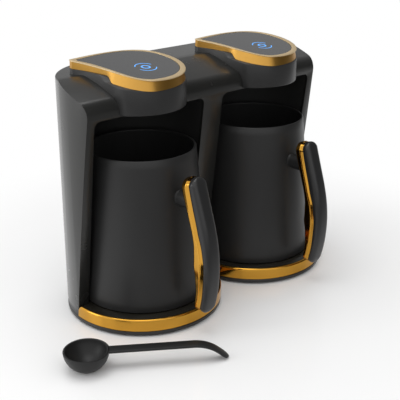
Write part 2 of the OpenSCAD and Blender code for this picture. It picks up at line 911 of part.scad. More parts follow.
module scoop_strip() {
    upper = strip_side(0);
    lower = strip_side(strip_t);
    tip = upper[len(upper) - 1].x;
    intersection() {
        rotate([90, 0, 0]) translate([0, 0, -strip_w/2]) linear_extrude(strip_w)
            polygon(concat(upper, [for (i = [len(lower) - 1:-1:0]) lower[i]]));
        translate([0, 0, -1]) linear_extrude(scoop_h + 2) union() {
            translate([0, -strip_w]) square([tip - strip_w/2, 2*strip_w]);
            translate([tip - end_bulge*strip_w/2, 0]) circle(end_bulge*strip_w/2);
        }
    }
}

module scoop() {
    inner_r = scoop_r - scoop_wall;
    color([0.12, 0.12, 0.12]) translate([scoop_x, scoop_y, 0]) rotate([0, 0, scoop_turn]) difference() {
        union() {
            intersection() {
                translate([0, 0, scoop_h + 0.6]) sphere(scoop_r);
                cylinder(r = scoop_r + 1, h = scoop_h);
            }
            scoop_strip();
        }
        translate([0, 0, inner_r + scoop_wall]) sphere(inner_r);
        translate([0, 0, inner_r + scoop_wall]) cylinder(r = inner_r, h = scoop_r);
    }
}

housing_shell();
rear_cover();
rear_cover_screws();
cord_gland();
base_tray();
rubber_feet();
base_screws();
power_board();
power_parts();
base_ring(left);  // base_ring_left
base_deck(left);  // base_deck_left
hotplate(left);  // hotplate_left
heating_element(left);  // heating_element_left
thermostat(left);  // thermostat_left
alcove_liner(left);  // alcove_liner_left
head_body(left);  // head_body_left
head_trim(left);  // head_trim_left
touch_panel(left);  // touch_panel_left
panel_frame(left);  // panel_frame_left
control_board(left);  // control_board_left
light_guide(left);  // light_guide_left
boil_sensor(left);  // boil_sensor_left
base_ring(right);  // base_ring_right
base_deck(right);  // base_deck_right
hotplate(right);  // hotplate_right
heating_element(right);  // heating_element_right
thermostat(right);  // thermostat_right
alcove_liner(right);  // alcove_liner_right
head_body(right);  // head_body_right
head_trim(right);  // head_trim_right
touch_panel(right);  // touch_panel_right
panel_frame(right);  // panel_frame_right
control_board(right);  // control_board_right
light_guide(right);  // light_guide_right
boil_sensor(right);  // boil_sensor_right
pot_body(left);  // pot_body_left
pot_base(left);  // pot_base_left
handle_bracket(left);  // handle_bracket_left
handle_frame(left);  // handle_frame_left
grip_pad(left);  // grip_pad_left
handle_screw(left);  // handle_screw_left
pot_body(right);  // pot_body_right
pot_base(right);  // pot_base_right
handle_bracket(right);  // handle_bracket_right
handle_frame(right);  // handle_frame_right
grip_pad(right);  // grip_pad_right
handle_screw(right);  // handle_screw_right
scoop();
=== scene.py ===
import math

import bmesh
import bpy
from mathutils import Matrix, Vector


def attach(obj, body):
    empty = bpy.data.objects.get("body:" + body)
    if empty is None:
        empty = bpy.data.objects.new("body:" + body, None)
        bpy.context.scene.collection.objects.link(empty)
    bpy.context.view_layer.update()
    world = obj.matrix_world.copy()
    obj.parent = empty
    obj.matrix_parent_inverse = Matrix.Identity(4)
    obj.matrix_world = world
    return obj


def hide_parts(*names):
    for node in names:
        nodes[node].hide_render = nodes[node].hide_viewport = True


for extra in ("Cube", "Light", "Camera"):
    if extra in bpy.data.objects:
        bpy.data.objects.remove(bpy.data.objects[extra])

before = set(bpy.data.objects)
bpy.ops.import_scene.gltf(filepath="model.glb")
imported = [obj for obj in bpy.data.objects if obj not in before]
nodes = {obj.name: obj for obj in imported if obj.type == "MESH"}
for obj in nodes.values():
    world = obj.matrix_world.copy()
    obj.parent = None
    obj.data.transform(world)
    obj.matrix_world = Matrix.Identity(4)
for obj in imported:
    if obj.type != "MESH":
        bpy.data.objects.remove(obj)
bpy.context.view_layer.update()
mm = 0.001
print("frame loaded:", len(nodes), "nodes")

# what every piece shares, in millimetres, as the frame has it
machine = {
    "axisX": 65.5,        # from the middle to each station's axis
    "baseR": 65.0,
    "alcoveR": 55.0,
    "alcoveTop": 169.0,
    "alcoveEdgeR": 5.5,
    "footH": 1.2,
    "floorZ": 4.2,
    "housingZ": 8.8,
    "deckZ": 13.6,
    "plateZ": 15.2,
    "wall": 2.5,
    "gap": 0.3,
}


# ---- small tools ----

def arc(cx, cy, r, start, end, steps):
    angles = [math.radians(start + (end - start) * i / steps) for i in range(steps + 1)]
    return [(cx + r * math.cos(a), cy + r * math.sin(a)) for a in angles]


def between(a, b, steps):  # points on a line, without its ends
    return [tuple(p + (q - p) * i / steps for p, q in zip(a, b)) for i in range(1, steps)]


def level(outline, z):  # a flat outline as a ring at height z
    return [(x, y, z) for x, y in outline]


def editNew(piece, name):
    piece.name = name
    piece.data.name = name
    bpy.ops.object.mode_set(mode="EDIT")
    bpy.ops.mesh.select_all(action="SELECT")


def placeSelected(piece, points):  # moves the selected corners, in their order, to points in mm
    mesh = bmesh.from_edit_mesh(piece.data)
    for corner, point in zip([v for v in mesh.verts if v.select], points):
        corner.co = Vector(point) * mm
    bmesh.update_edit_mesh(piece.data)


def selectCorners(piece, first, count):
    bpy.ops.mesh.select_all(action="DESELECT")
    mesh = bmesh.from_edit_mesh(piece.data)
    mesh.verts.ensure_lookup_table()
    for i in range(first, first + count):
        mesh.verts[i].select = True
    mesh.select_flush(True)
    bmesh.update_edit_mesh(piece.data)


def closeEdit(piece, smooth):
    bpy.ops.mesh.select_all(action="SELECT")
    bpy.ops.mesh.remove_doubles(threshold=0.002 * mm)
    bpy.ops.mesh.normals_make_consistent(inside=False)
    bpy.ops.object.mode_set(mode="OBJECT")
    bpy.ops.object.shade_smooth_by_angle(angle=math.radians(smooth))
    return piece


def lofted(name, rings, caps=True, smooth=32):  # skins rings of as many points each, in order
    count = len(rings[0])
    bpy.ops.object.select_all(action="DESELECT")
    bpy.ops.mesh.primitive_circle_add(vertices=count, radius=mm)
    piece = bpy.context.object
    editNew(piece, name)
    placeSelected(piece, rings[0])
    for ring in rings[1:]:
        bpy.ops.mesh.extrude_region_move()
        placeSelected(piece, ring)
    if caps:
        for first in (0, count * (len(rings) - 1)):
            selectCorners(piece, first, count)
            bpy.ops.mesh.edge_face_add()
    return closeEdit(piece, smooth)


def turned(name, profile, steps=144, smooth=32, x=0.0, y=0.0):  # spins a profile of (radius, height)
    bpy.ops.object.select_all(action="DESELECT")
    bpy.ops.mesh.primitive_plane_add(size=mm)
    piece = bpy.context.object
    editNew(piece, name)
    bpy.ops.mesh.merge(type="CENTER")
    placeSelected(piece, [(x + profile[0][0], y, profile[0][1])])
    for r, z in profile[1:]:
        bpy.ops.mesh.extrude_region_move()
        placeSelected(piece, [(x + r, y, z)])
    bpy.ops.mesh.select_all(action="SELECT")
    bpy.ops.mesh.spin(steps=steps, angle=2 * math.pi, center=(x * mm, y * mm, 0), axis=(0, 0, 1))
    return closeEdit(piece, smooth)


def block(name, low, high, edge=0.0, segments=2, smooth=32):  # a box with round edges
    bpy.ops.object.select_all(action="DESELECT")
    bpy.ops.mesh.primitive_cube_add(size=1)
    piece = bpy.context.object
    editNew(piece, name)
    mesh = bmesh.from_edit_mesh(piece.data)
    for corner in mesh.verts:
        corner.co = Vector([(h if c > 0 else l) * mm for c, l, h in zip(corner.co, low, high)])
    bmesh.update_edit_mesh(piece.data)
    if edge:
        bpy.ops.mesh.bevel(offset=edge * mm, segments=segments, affect="EDGES")
    return closeEdit(piece, smooth)


def boolean(piece, other, operation="DIFFERENCE", keep=False):
    cut = piece.modifiers.new("cut", "BOOLEAN")
    cut.operation = operation
    cut.solver = "EXACT"
    cut.object = other
    bpy.ops.object.select_all(action="DESELECT")
    bpy.context.view_layer.objects.active = piece
    piece.select_set(True)
    bpy.ops.object.modifier_apply(modifier=cut.name)
    if not keep:
        bpy.data.objects.remove(other)
    return piece


def softened(piece, width, angle=40, segments=2):  # a bevel on the sharp edges, then smooth shading
    bevel = piece.modifiers.new("soft", "BEVEL")
    bevel.width = width * mm
    bevel.segments = segments
    bevel.limit_method = "ANGLE"
    bevel.angle_limit = math.radians(angle)
    bevel.harden_normals = False
    bpy.ops.object.select_all(action="DESELECT")
    bpy.context.view_layer.objects.active = piece
    piece.select_set(True)
    bpy.ops.object.modifier_apply(modifier=bevel.name)
    bpy.ops.object.shade_smooth_by_angle(angle=math.radians(angle))
    return piece


def twin(piece, name, dx):  # a copy with its own mesh, moved sideways
    bpy.ops.object.select_all(action="DESELECT")
    bpy.context.view_layer.objects.active = piece
    piece.select_set(True)
    bpy.ops.object.duplicate()
    copy = bpy.context.object
    copy.name = name
    copy.data.name = name
    return moved(copy, dx)


def moved(piece, dx):
    bpy.ops.object.select_all(action="DESELECT")
    bpy.context.view_layer.objects.active = piece
    piece.select_set(True)
    bpy.ops.transform.translate(value=(dx * mm, 0, 0))
    bpy.ops.object.transform_apply(location=True, rotation=False, scale=False)
    return piece


def joined(first, *others):
    bpy.ops.object.select_all(action="DESELECT")
    for piece in (first, *others):
        piece.select_set(True)
    bpy.context.view_layer.objects.active = first
    bpy.ops.object.join()
    return first


def dressed(piece, finish, body, slotName, *replaced):
    piece.data.materials.clear()
    piece.data.materials.append(finish)
    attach(piece, body)
    if replaced:
        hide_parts(*replaced)
    return piece


def onBothStations(piece, stem, finish, slotName, *replacedStems, pot=False):
    # the piece is made about x = 0; its copies stand at the two stations
    right = twin(piece, stem + "Right", machine["axisX"])
    left = moved(piece, -machine["axisX"])
    left.name = stem + "Left"
    for side, copy in (("left", left), ("right", right)):
        body = "pot_" + side if pot else "machine"
        dressed(copy, finish, body, slotName, *[f"{node}_{side}" for node in replacedStems])
    return left, right


# ---- shader maths ----

class Wire:  # one output of a shader node, on which Python's own signs add Math nodes
    def __init__(self, finish, socket):
        self.finish = finish
        self.socket = socket

    def maths(self, operation, first, second=0.0):
        return self.finish.node("ShaderNodeMath", {"operation": operation}, {0: first, 1: second})

    def __add__(self, other):
        return self.maths("ADD", self, other)

    def __sub__(self, other):
        return self.maths("SUBTRACT", self, other)

    def __rsub__(self, other):
        return self.maths("SUBTRACT", other, self)

    def __mul__(self, other):
        return self.maths("MULTIPLY", self, other)

    def __gt__(self, other):
        return self.maths("GREATER_THAN", self, other)

    def __lt__(self, other):
        return self.maths("LESS_THAN", self, other)

    __radd__ = __add__
    __rmul__ = __mul__


class Finish:  # a material with a principled shader, whose constants are set on its own sockets
    def __init__(self, name, **constants):
        self.material = bpy.data.materials.new(name)
        self.material.use_nodes = True
        self.tree = self.material.node_tree
        self.shader = self.tree.nodes["Principled BSDF"]
        self.place = None
        for key, value in constants.items():
            self.shader.inputs[key.replace("_", " ")].default_value = value

    def node(self, kind, settings, inputs, output=0):
        made = self.tree.nodes.new(kind)
        for key, value in settings.items():
            if key == "stops":
                ramp = made.color_ramp
                while len(ramp.elements) < len(value):
                    ramp.elements.new(0.5)
                for element, (position, colour) in zip(ramp.elements, value):
                    element.position = position
                    element.color = (*colour, 1)
            else:
                setattr(made, key, value)
        for key, value in inputs.items():
            if isinstance(value, Wire):
                self.tree.links.new(value.socket, made.inputs[key])
            else:
                made.inputs[key].default_value = value
        return Wire(self, made.outputs[output])

    def feed(self, socket, wire):
        self.tree.links.new(wire.socket, self.shader.inputs[socket])

    def where(self, scale=(1, 1, 1), turn=(0, 0, 0), place=(0, 0, 0)):
        spot = self.node("ShaderNodeTexCoord", {}, {}, "Object")
        return self.node("ShaderNodeMapping", {},
                         {"Vector": spot, "Scale": scale, "Rotation": turn, "Location": place})

    def noise(self, scale, detail=3.0, roughness=0.5, spot=None, distortion=0.0):
        return self.node("ShaderNodeTexNoise", {},
                         {"Vector": spot or self.where(), "Scale": scale, "Detail": detail,
                          "Roughness": roughness, "Distortion": distortion}, "Fac")

    def blend(self, mask, first, second):
        return self.node("ShaderNodeMix", {"data_type": "RGBA"},
                         {"Factor": mask, 6: (*first, 1), 7: (*second, 1)}, 2)

    def bump(self, height, strength, distance):
        bumped = self.node("ShaderNodeBump", {},
                           {"Height": height, "Strength": strength, "Distance": distance}, "Normal")
        self.feed("Normal", bumped)


def mouldedPlastic(name, colour, lighter, rough, grain=900.0, depth=0.35, specular=0.5, coat=0.0):
    finish = Finish(name, Specular_IOR_Level=specular, Coat_Weight=coat, Coat_Roughness=0.3)
    broad = finish.noise(14.0, 4.0)
    finish.feed("Base Color", finish.blend(broad, colour, lighter))
    finish.feed("Roughness", finish.noise(60.0, 3.0) * 0.08 + (rough - 0.04))
    finish.bump(finish.noise(grain, 2.0, 0.6), depth, 0.02 * mm)
    return finish.material


def plating(name, colour, deeper, rough, waviness=0.1):
    finish = Finish(name, Metallic=1.0)
    finish.feed("Base Color", finish.blend(finish.noise(20.0, 3.0), colour, deeper))
    finish.feed("Roughness", finish.noise(180.0, 4.0, 0.7) * 0.06 + (rough - 0.03))
    finish.bump(finish.noise(45.0, 2.0), waviness, 0.02 * mm)
    return finish.material


def satinGold(name, colour, lighter):  # fine lines in a pale, half metallic coat
    finish = Finish(name, Metallic=0.4)
    lines = finish.noise(500.0, 3.0, 0.7, finish.where(scale=(0.15, 1, 1)))
    finish.feed("Base Color", finish.blend(lines, colour, lighter))
    finish.feed("Roughness", lines * 0.1 + 0.3)
    finish.bump(lines, 0.1, 0.02 * mm)
    return finish.material


def metal(name, colour, deeper, rough, scratches=(1, 1, 1)):
    finish = Finish(name, Metallic=1.0)
    lines = finish.noise(700.0, 3.0, 0.7, finish.where(scale=scratches))
    finish.feed("Base Color", finish.blend(finish.noise(30.0, 3.0), colour, deeper))
    finish.feed("Roughness", lines * 0.2 + (rough - 0.1))
    finish.bump(lines, 0.2, 0.02 * mm)
    return finish.material


# colours are linear, as the shader takes them
finishes = {
    "housing": mouldedPlastic("satinBlack", (0.011, 0.011, 0.010), (0.014, 0.014, 0.013), 0.26, depth=0.15, coat=0.42),
    "tray": mouldedPlastic("trayBlack", (0.012, 0.012, 0.012), (0.017, 0.017, 0.017), 0.36),
    "liner": mouldedPlastic("linerBlack", (0.017, 0.017, 0.017), (0.021, 0.021, 0.020), 0.5, specular=0.3),
    # the deck's brownish tint is painted reflection of the gold ring around it, on black plastic
    "deck": mouldedPlastic("deckBlack", (0.014, 0.013, 0.010), (0.020, 0.018, 0.014), 0.26),
    "head": mouldedPlastic("headBlack", (0.021, 0.021, 0.021), (0.025, 0.025, 0.025), 0.42, specular=0.4),
    "pot": mouldedPlastic("potBlack", (0.018, 0.018, 0.018), (0.022, 0.022, 0.022), 0.4, 1600.0, 0.3, specular=0.35),
    "pad": mouldedPlastic("padBlack", (0.016, 0.016, 0.017), (0.021, 0.021, 0.021), 0.33, 1300.0, 0.3, specular=0.45),
    "bracket": mouldedPlastic("bracketBlack", (0.017, 0.017, 0.017), (0.022, 0.022, 0.022), 0.42, specular=0.3),
    "scoop": mouldedPlastic("scoopBlack", (0.015, 0.015, 0.015), (0.020, 0.020, 0.020), 0.42, specular=0.28),
    "rubber": mouldedPlastic("rubberBlack", (0.016, 0.016, 0.016), (0.024, 0.024, 0.024), 0.75, 500.0, 0.5),
    "gland": mouldedPlastic("softBlack", (0.014, 0.014, 0.014), (0.02, 0.02, 0.02), 0.6, 700.0),
    "plate": metal("hotplateMetal", (0.035, 0.034, 0.033), (0.05, 0.048, 0.046), 0.45),
    "gold": plating("goldPlate", (0.62, 0.32, 0.047), (0.57, 0.29, 0.043), 0.09, 0.05),
    "ring": plating("goldRing", (0.64, 0.33, 0.047), (0.59, 0.30, 0.042), 0.07, 0.05),
    "band": plating("goldBand", (0.58, 0.32, 0.07), (0.53, 0.29, 0.065), 0.42, 0.05),
    "trim": satinGold("goldTrim", (0.56, 0.42, 0.23), (0.62, 0.47, 0.27)),
    "steel": metal("plainSteel", (0.52, 0.52, 0.53), (0.42, 0.42, 0.43), 0.3),
    "heater": metal("heaterSteel", (0.32, 0.26, 0.2), (0.2, 0.16, 0.14), 0.4),
    "parts": mouldedPlastic("partGrey", (0.12, 0.12, 0.12), (0.2, 0.2, 0.2), 0.45, 400.0),
    "guide": mouldedPlastic("guideWhite", (0.62, 0.68, 0.72), (0.7, 0.76, 0.8), 0.3, 300.0, 0.1),
    "lens": mouldedPlastic("sensorRed", (0.08, 0.01, 0.01), (0.12, 0.015, 0.012), 0.12, 200.0, 0.05),
}


def circuitBoard():
    finish = Finish("boardGreen", Specular_IOR_Level=0.5)
    cells = finish.node("ShaderNodeTexVoronoi", {"distance": "CHEBYCHEV"},
                        {"Vector": finish.where(), "Scale": 260.0}, "Distance")
    tracks = cells > 0.42
    finish.feed("Base Color", finish.blend(tracks, (0.012, 0.09, 0.035), (0.03, 0.16, 0.06)))
    finish.feed("Roughness", tracks * 0.15 + 0.3)
    finish.bump(tracks, 0.3, 0.03 * mm)
    return finish.material


finishes["board"] = circuitBoard()
print("finishes made:", len(finishes))


# ---- housing ----

housing = {
    "top": 195.0,
    "topEdgeR": 1.0,
    "endsLean": 1.6,     # how far each end leans in at the top
    "slopeStart": 21.0,
    "slope": 20.0,
    "foldR": 12.0,
    "frontFoot": 5.2,
    "lean": 7.5,
    "edge": 0.5,
}
lean = math.radians(housing["lean"])
slope = math.radians(housing["slope"])


def frontAt(z, d=0.0):  # the front plane, moved inwards by d
    return housing["frontFoot"] - (z - machine["housingZ"]) * math.tan(lean) + d / math.cos(lean)


def slopeAt(y, d=0.0):
    return housing["top"] - (housing["slopeStart"] - y) * math.tan(slope) - d / math.cos(slope)


def foldAt(d):  # where the front plane and the slope meet, both moved inwards by d
    z0, y0 = slopeAt(0, d), frontAt(0, d)
    z = (z0 + y0 * math.tan(slope)) / (1 + math.tan(slope) * math.tan(lean))
    return y0 - z * math.tan(lean), z


def stadiumOutline(r, z, steps=60):
    x = machine["axisX"] - housing["endsLean"] * (z - machine["housingZ"]) / (housing["top"] - machine["housingZ"])
    return arc(x, 0, r, -90, 90, steps) + arc(-x, 0, r, 90, 270, steps)


def stadiumBlock(name, d, z0, z1, edge):
    r = machine["baseR"] - d
    rings = [level(stadiumOutline(r, z0), z0)]
    for i in range(9):
        a = math.radians(90 * i / 8)
        z = z1 - edge + edge * math.sin(a)
        rings.append(level(stadiumOutline(r - edge * (1 - math.cos(a)), z), z))
    return lofted(name, rings)


def sideBlock(name, d, z0):  # all that lies behind the front plane and below the slope
    fold = foldAt(housing["foldR"])
    side = [(90, z0), (frontAt(z0, d), z0)]
    side += arc(fold[0], fold[1], housing["foldR"] - d, 180 + housing["lean"], 90 + housing["slope"], 20)
    side += [(45, slopeAt(45, d)), (90, slopeAt(45, d))]
    return lofted(name, [[(x, y, z) for y, z in side] for x in (-150, 150)])


def alcoveOutline(r, front, steps=72):
    return [(-r, front), (r, front)] + arc(0, 0, r, 0, 180, steps)


def alcoveBlock(name, d, z0, front=-90):
    r = machine["alcoveR"] + d
    edge = machine["alcoveEdgeR"] + d
    top = machine["alcoveTop"] + d
    rings = [level(alcoveOutline(r, front), z0)]
    for i in range(9):
        a = math.radians(90 * i / 8)
        rings.append(level(alcoveOutline(r - edge * (1 - math.cos(a)), front), top - edge + edge * math.sin(a)))
    return lofted(name, rings)


def housingForm(name, d, z0, edge):
    form = stadiumBlock(name, d, z0, housing["top"] - d, edge)
    return boolean(form, sideBlock("sideCut", d, z0 - 2), "INTERSECT")


cover = {"w": 110.0, "h": 112.0, "z": 34.0, "t": 2.5, "slots": 8, "slotL": 30.0, "slotH": 2.4, "screwIn": 6.0, "glandZ": 46.0}


def makeHousing():
    wall = machine["wall"]
    shell = housingForm("housingShell", 0, machine["housingZ"], housing["topEdgeR"])
    boolean(shell, housingForm("inside", wall, machine["housingZ"] - 4, 2.0))
    for side in (-1, 1):
        boolean(shell, moved(alcoveBlock("alcove", 0, 0), side * machine["axisX"]))
    w = cover["w"] / 2
    boolean(shell, block("coverRoom", (-w, 60, cover["z"]), (w, 70, cover["z"] + cover["h"])))
    softened(shell, housing["edge"], 40, 3)
    dressed(shell, finishes["housing"], "machine", "satin_black", "housing_shell")
    liner = alcoveBlock("alcoveLiner", 1.6, machine["floorZ"])
    boolean(liner, alcoveBlock("alcove", 0, 0))
    boolean(liner, sideBlock("sideCut", wall, 0), "INTERSECT")
    bpy.ops.object.shade_smooth_by_angle(angle=math.radians(32))
    onBothStations(liner, "alcoveLiner", finishes["liner"], "liner_black", "alcove_liner")


makeHousing()
print("housing made")


# ---- back ----

def screwHead(name, r, h):  # a domed head with a cross recess, facing up from z = 0
    dome = [(0, -3), (1.5, -3), (1.5, 0), (r - 0.15, 0), (r, 0.15), (r, h * 0.55)]
    dome += [(r * math.cos(math.radians(a)), h * 0.55 + h * 0.45 * math.sin(math.radians(a))) for a in range(15, 90, 15)]
    screw = turned(name, dome + [(0, h)], 32)
    for low, high in (((-1.7, -0.35, h * 0.45), (1.7, 0.35, h + 1)), ((-0.35, -1.7, h * 0.45), (0.35, 1.7, h + 1))):
        boolean(screw, block("cross", low, high))
    return screw


def placed(piece, at, turn=(0, 0, 0)):
    bpy.ops.object.select_all(action="DESELECT")
    bpy.context.view_layer.objects.active = piece
    piece.select_set(True)
    piece.rotation_euler = [math.radians(a) for a in turn]
    piece.location = [c * mm for c in at]
    bpy.ops.object.transform_apply(location=True, rotation=True, scale=False)
    return piece


def makeBack():
    w, z, h, y = cover["w"] / 2, cover["z"], cover["h"], machine["baseR"]
    gap = machine["gap"]
    plate = block("rearCover", (-w + gap, y - cover["t"], z + gap), (w - gap, y, z + h - gap), 0.5)
    pitch = (h - 4 * cover["screwIn"]) / cover["slots"]
    for side in (-1, 1):
        for i in range(cover["slots"]):
            x = side * (w - cover["slotL"] / 2 - 3)
            low = z + 2 * cover["screwIn"] + (i + 0.5) * pitch - cover["slotH"] / 2
            boolean(plate, block("slot", (x - cover["slotL"] / 2, y - 8, low),
                                 (x + cover["slotL"] / 2, y + 8, low + cover["slotH"]), 1.1, 3))
    boolean(plate, block("field", (-19, y - 0.5, z + 26), (19, y + 2, z + h - 20), 0.8))
    seat = turned("seat", [(0, -8), (6.05, -8), (6.05, 8), (0, 8)], 64)
    boolean(plate, placed(seat, (0, y, cover["glandZ"]), (-90, 0, 0)))
    spots = [(sx * (w - cover["screwIn"]), z + cover["screwIn"] + k * (h - 2 * cover["screwIn"]))
             for sx in (-1, 1) for k in (0, 1)]
    for sx, sz in spots:
        boolean(plate, placed(turned("well", [(0, -1.7), (2.9, -1.7), (2.9, 3), (0, 3)], 40), (sx, y, sz), (-90, 0, 0)))
    softened(plate, 0.3, 40, 2)
    dressed(plate, finishes["tray"], "machine", "textured_black", "rear_cover")
    first = placed(screwHead("rearScrews", 2.75, 1.5), (0, y - 1.6, 0), (-90, 0, 0))
    copies = [placed(twin(first, "copy", 0), (sx, 0, sz)) for sx, sz in spots[1:]]
    placed(first, (spots[0][0], 0, spots[0][1]))
    dressed(joined(first, *copies), finishes["steel"], "machine", "screw_steel", "rear_cover_screws")
    barrel = [(3.2, -6), (3.2, 3.6), (3.5, 4.0), (4.6, 4.0), (5.1, 3.6)]
    for i in range(3):  # the relief's ribs
        barrel += [(5.1, 3.2 - 0.7 * i), (4.7, 3.05 - 0.7 * i), (4.7, 2.75 - 0.7 * i), (5.1, 2.6 - 0.7 * i)]
    barrel += [(5.1, 1.0), (5.2, 0.9)]
    barrel = barrel[:17] + [(5.1, 1.6), (8.1, 1.6), (8.5, 1.2), (8.5, 0), (6, 0), (6, -6), (3.2, -6)]
    gland = placed(turned("cordGland", barrel, 64), (0, y, cover["glandZ"]), (-90, 0, 0))
    dressed(gland, finishes["gland"], "machine", "soft_black", "cord_gland")


makeBack()
print("back made")


# ---- base ----

base = {
    "ringR": 65.3,
    "ringWall": 2.0,
    "ringTop": 14.8,
    "rebate": 1.0,       # the step in the ring's foot, above the tray
    "heel": 0.9,
    "ringEdgeR": 1.5,
    "ringCornerR": 4.0,
    "deckR": 63.0,
    "plateR": 46.0,
}


def trayOutline(d, steps=64):
    r, notch = machine["baseR"] - d, -8 + d
    dip = math.degrees(math.asin(notch / r))
    right = arc(machine["axisX"], 0, r, 90, -180 - dip, steps)
    left = arc(-machine["axisX"], 0, r, dip, -270, steps)
    return right + left


def clippedStadium(d, z, steps=60):  # the housing's outline at height z, closed by its front plane
    r, front = machine["baseR"] - d, frontAt(z, d)
    a = math.degrees(math.asin(front / r))
    return arc(machine["axisX"], 0, r, a, 90, steps) + arc(-machine["axisX"], 0, r, 90, 180 - a, steps)


def makeBase():
    foot, top = machine["footH"], machine["floorZ"]
    tray = lofted("baseTray", [level(trayOutline(d), z) for d, z in (
        (0.3, foot), (0.1, foot + 0.05), (0.02, foot + 0.15), (0, foot + 0.3), (0, top - 0.7),
        (0.05, top - 0.35), (0.25, top - 0.08), (0.6, top))])
    plinth = lofted("plinth", [level(clippedStadium(d, z), z) for d, z in (
        (0.4, top - 1), (0.4, machine["housingZ"] + 0.2), (2.2, machine["housingZ"] + 0.2), (2.2, top - 1), (0.4, top - 1))], caps=False)
    spots = [(0, 24), (-17, 50), (17, 50)]
    spots += [(s * (machine["axisX"] + 60.2 * math.cos(math.radians(35))), 60.2 * math.sin(math.radians(35))) for s in (-1, 1)]
    for sx, sy in spots:
        boolean(tray, placed(turned("well", [(0, -2), (3, -2), (3, foot + 1.7), (0, foot + 1.7)], 40), (sx, sy, 0)))
    joined(tray, plinth)
    dressed(tray, finishes["tray"], "machine", "tray_black", "base_tray")
    first = placed(screwHead("baseScrews", 2.75, 1.5), (0, 0, 0), (180, 0, 0))
    copies = [placed(twin(first, "copy", 0), (sx, sy, foot + 1.6)) for sx, sy in spots[1:]]
    placed(first, (spots[0][0], spots[0][1], foot + 1.6))
    dressed(joined(first, *copies), finishes["steel"], "machine", "screw_steel", "base_screws")
    pad = [(0, 0.25), (3.2, 0.25), (3.5, 0), (5.4, 0), (5.9, 0.4), (6, 0.9), (6, foot + 0.1), (0, foot + 0.1)]
    feet = turned("rubberFeet", pad, 48)
    places = [(0, 4), (-65.5, -54), (65.5, -54), (-103.5, 38), (103.5, 38)]
    copies = [placed(twin(feet, "copy", 0), (fx, fy, 0)) for fx, fy in places[1:]]
    placed(feet, (0, 4, 0))
    dressed(joined(feet, *copies), finishes["rubber"], "machine", "rubber_black", "rubber_feet")


def ringSections():  # upright sections of the ring, from its right end round the front to its left end
    outer, wall, low, top = base["ringR"], base["ringWall"], machine["floorZ"], base["ringTop"]
    e = base["ringEdgeR"]
    seat, heel = outer - base["rebate"], low + base["heel"]
    profile = [(outer - wall, low), (seat, low), (seat, heel), (outer, heel)]
    profile += between((outer, heel), (outer, top - e), 4)
    profile += [(outer - e + e * math.cos(math.radians(a)), top - e + e * math.sin(math.radians(a))) for a in range(0, 91, 15)]
    profile += [(outer - wall + 0.15, top), (outer - wall, top - 0.15)]
    profile += between((outer - wall, top - 0.15), (outer - wall, low), 3)
    length = math.radians(189) * outer
    corner = base["ringCornerR"]
    near = [corner * k for k in (0, 0.01, 0.04, 0.1, 0.2, 0.32, 0.46, 0.62, 0.8, 1)]
    runs = near + [corner + (length - 2 * corner) * i / 96 for i in range(1, 96)] + [length - s for s in reversed(near)]
    rings = []
    for run in runs:
        s = min(run, length - run)
        drop = corner - math.sqrt(max(0, corner ** 2 - (corner - s) ** 2)) if s < corner else 0
        section = []
        for r, z in profile:
            lowered = low + (z - low) * (top - low - drop) / (top - low)
            end = math.asin((frontAt(lowered) - machine["gap"]) / r)
            a = end - (math.pi + 2 * end) * run / length
            section.append((r * math.cos(a), r * math.sin(a), lowered))
        rings.append(section)
    return rings


def deckOutline(d):
    r, inner, y = base["deckR"] - d, machine["alcoveR"] - machine["gap"] - d, 4.4 - d
    a, b = math.degrees(math.asin(y / r)), math.degrees(math.asin(y / inner))
    return arc(0, 0, r, 180 - a, 360 + a, 96) + arc(0, 0, inner, b, 180 - b, 72)


def makeStations():
    onBothStations(lofted("baseRing", ringSections()), "baseRing", finishes["ring"], "gold_ring", "base_ring")
    low, top = machine["floorZ"], machine["deckZ"]
    deck = lofted("baseDeck", [level(deckOutline(d), z) for d, z in (
        (0, low), (0, top - 0.6), (0.15, top - 0.2), (0.5, top))])
    boolean(deck, turned("plateHole", [(0, 0), (46.3, 0), (46.3, 30), (0, 30)], 128))
    softened(deck, 0.25, 50, 2)
    onBothStations(deck, "baseDeck", finishes["deck"], "deck_black", "base_deck")
    top = machine["plateZ"]
    rim = [(0, 10.2), (48.5, 10.2), (48.5, 11.3), (46, 11.3), (46, top - 0.6), (45.8, top - 0.15), (45.3, top)]
    for r in range(42, 10, -4):  # turned grooves
        rim += [(r + 0.5, top), (r + 0.3, top - 0.2), (r - 0.3, top - 0.2), (r - 0.5, top)]
    onBothStations(turned("hotplate", rim + [(0, top)]), "hotplate", finishes["plate"], "hotplate_metal", "hotplate")


makeBase()
makeStations()
print("base made")


# ---- heads ----

head = {
    "top": 201.0,
    "tilt": 8.0,
    "bottom": 170.0,
    # an outline has a round front, of centre and radius, that runs clockwise between two angles;
    # flank and rear give how long each keeps its direction at both ends, and its way at the tip
    "lip": {"centre": (0.3, 4.0), "r": 38.7, "round": (25.0, -107.0), "tip": (-43.0, 34.1),
            "flank": (18.0, 30.0, 127.0), "rear": (22.0, 34.0, 188.0), "thin": 0.3, "tipShare": 0.62},
    "body": {"centre": (0.0, 4.0), "r": 39.5, "round": (25.0, -138.0), "tip": (-42.7, 34.5),
             "flank": (12.0, 30.0, 122.3), "rear": (22.0, 34.0, 188.0), "thin": 0.0, "tipShare": 1.0},
    "lipT": 0.65,
    "lipW": 4.4,
    "bandH": 6.9,
    "bandTaper": 0.014,
    "liftFrom": -6.0,    # where on the flank the foot of the band starts to rise, and how far it does
    "lift": 3.3,
    "flare": 3.8,
    "tipLift": 1.3,
    "boardIn": 5.2,
    "mark": (3.0, -5.1),
}


def unit(degrees):
    return Vector((math.cos(math.radians(degrees)), math.sin(math.radians(degrees))))


def bezier(a, b, c, d, t):
    return a * (1 - t) ** 3 + b * 3 * t * (1 - t) ** 2 + c * 3 * t ** 2 * (1 - t) + d * t ** 3


